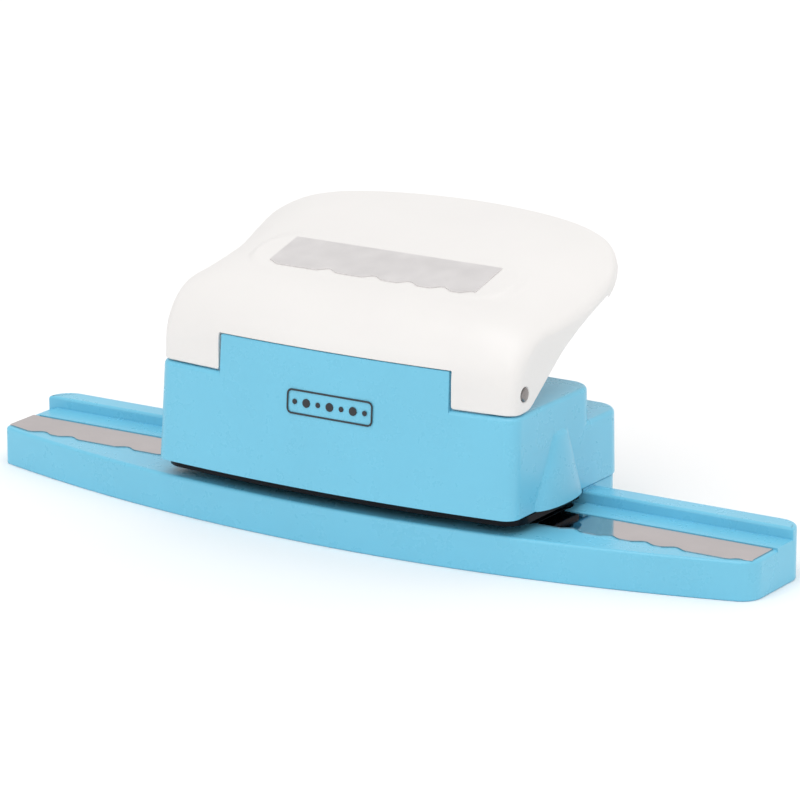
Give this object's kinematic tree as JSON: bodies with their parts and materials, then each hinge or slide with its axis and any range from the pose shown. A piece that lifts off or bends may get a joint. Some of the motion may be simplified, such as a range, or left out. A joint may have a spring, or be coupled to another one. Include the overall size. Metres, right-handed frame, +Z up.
{
  "type": "craft punch",
  "caption": "Hand-lever paper border punch on a long bowed guide base with a rear rail, foil pattern strips on the deck and a wide hinged press lever over a moulded housing.",
  "frame": {"origin": "on the table, halfway along the guide base in X, and halfway in Y between the housing's front and the lever's rear edge", "axes": "+X along the guide base, +Y away from the user towards the rail and the lever's free edge, +Z up"},
  "size_m": [0.23, 0.0764, 0.0769],
  "materials": {
    "blue_plastic": "light blue moulded plastic, satin gloss",
    "white_plastic": "warm white moulded plastic, satin gloss",
    "pattern_foil": "mirror foil, scalloped edge",
    "label_foil": "dull silver foil, faintly mottled",
    "black_steel": "black oxide on steel plate",
    "blade_steel": "ground tool steel",
    "bright_steel": "turned steel",
    "spring_steel": "drawn spring wire",
    "screw_steel": "zinc plated",
    "grey_plastic": "dark grey moulded plastic",
    "printed_ink": "dark print"
  },
  "bodies": {
    "base": {"guide_base": "blue_plastic", "pattern_strip_left": "pattern_foil", "pattern_strip_right": "pattern_foil", "die_plate": "black_steel", "die_screw_1": "screw_steel", "die_screw_2": "screw_steel", "die_screw_3": "screw_steel", "die_screw_4": "screw_steel", "stripper_plate": "black_steel", "stripper_screw_1": "screw_steel", "stripper_screw_2": "screw_steel", "stripper_screw_3": "screw_steel", "stripper_screw_4": "screw_steel", "housing": "blue_plastic", "housing_screw_1": "screw_steel", "housing_screw_2": "screw_steel", "housing_screw_3": "screw_steel", "front_badge": "printed_ink", "guide_post_left": "bright_steel", "guide_post_right": "bright_steel", "return_spring_left": "spring_steel", "return_spring_right": "spring_steel", "hinge_pin_left": "bright_steel", "hinge_pin_right": "bright_steel"},
    "carrier": {"punch_carrier": "grey_plastic", "punch_blade": "blade_steel", "blade_screw_1": "screw_steel", "blade_screw_2": "screw_steel"},
    "lever": {"lever": "white_plastic", "lever_label": "label_foil"}
  },
  "joints": [
    {"name": "lever_press", "type": "hinge", "parent": "base", "child": "lever", "pos_m": [0, -0.028, 0.0468], "axis": [-1, 0, 0], "range_deg": [0, 15], "stiffness_Nm_per_rad": 0.7, "springref_deg": -18.91},
    {"name": "carrier_slide", "type": "slide", "parent": "base", "child": "carrier", "axis": [0, 0, -1], "range_m": [0, 0.00408], "deforming": ["return_spring_left", "return_spring_right"]}
  ],
  "couplings": [
    {"joint": "lever_press", "follows": "carrier_slide", "rad_per_m": 64.1}
  ]
}
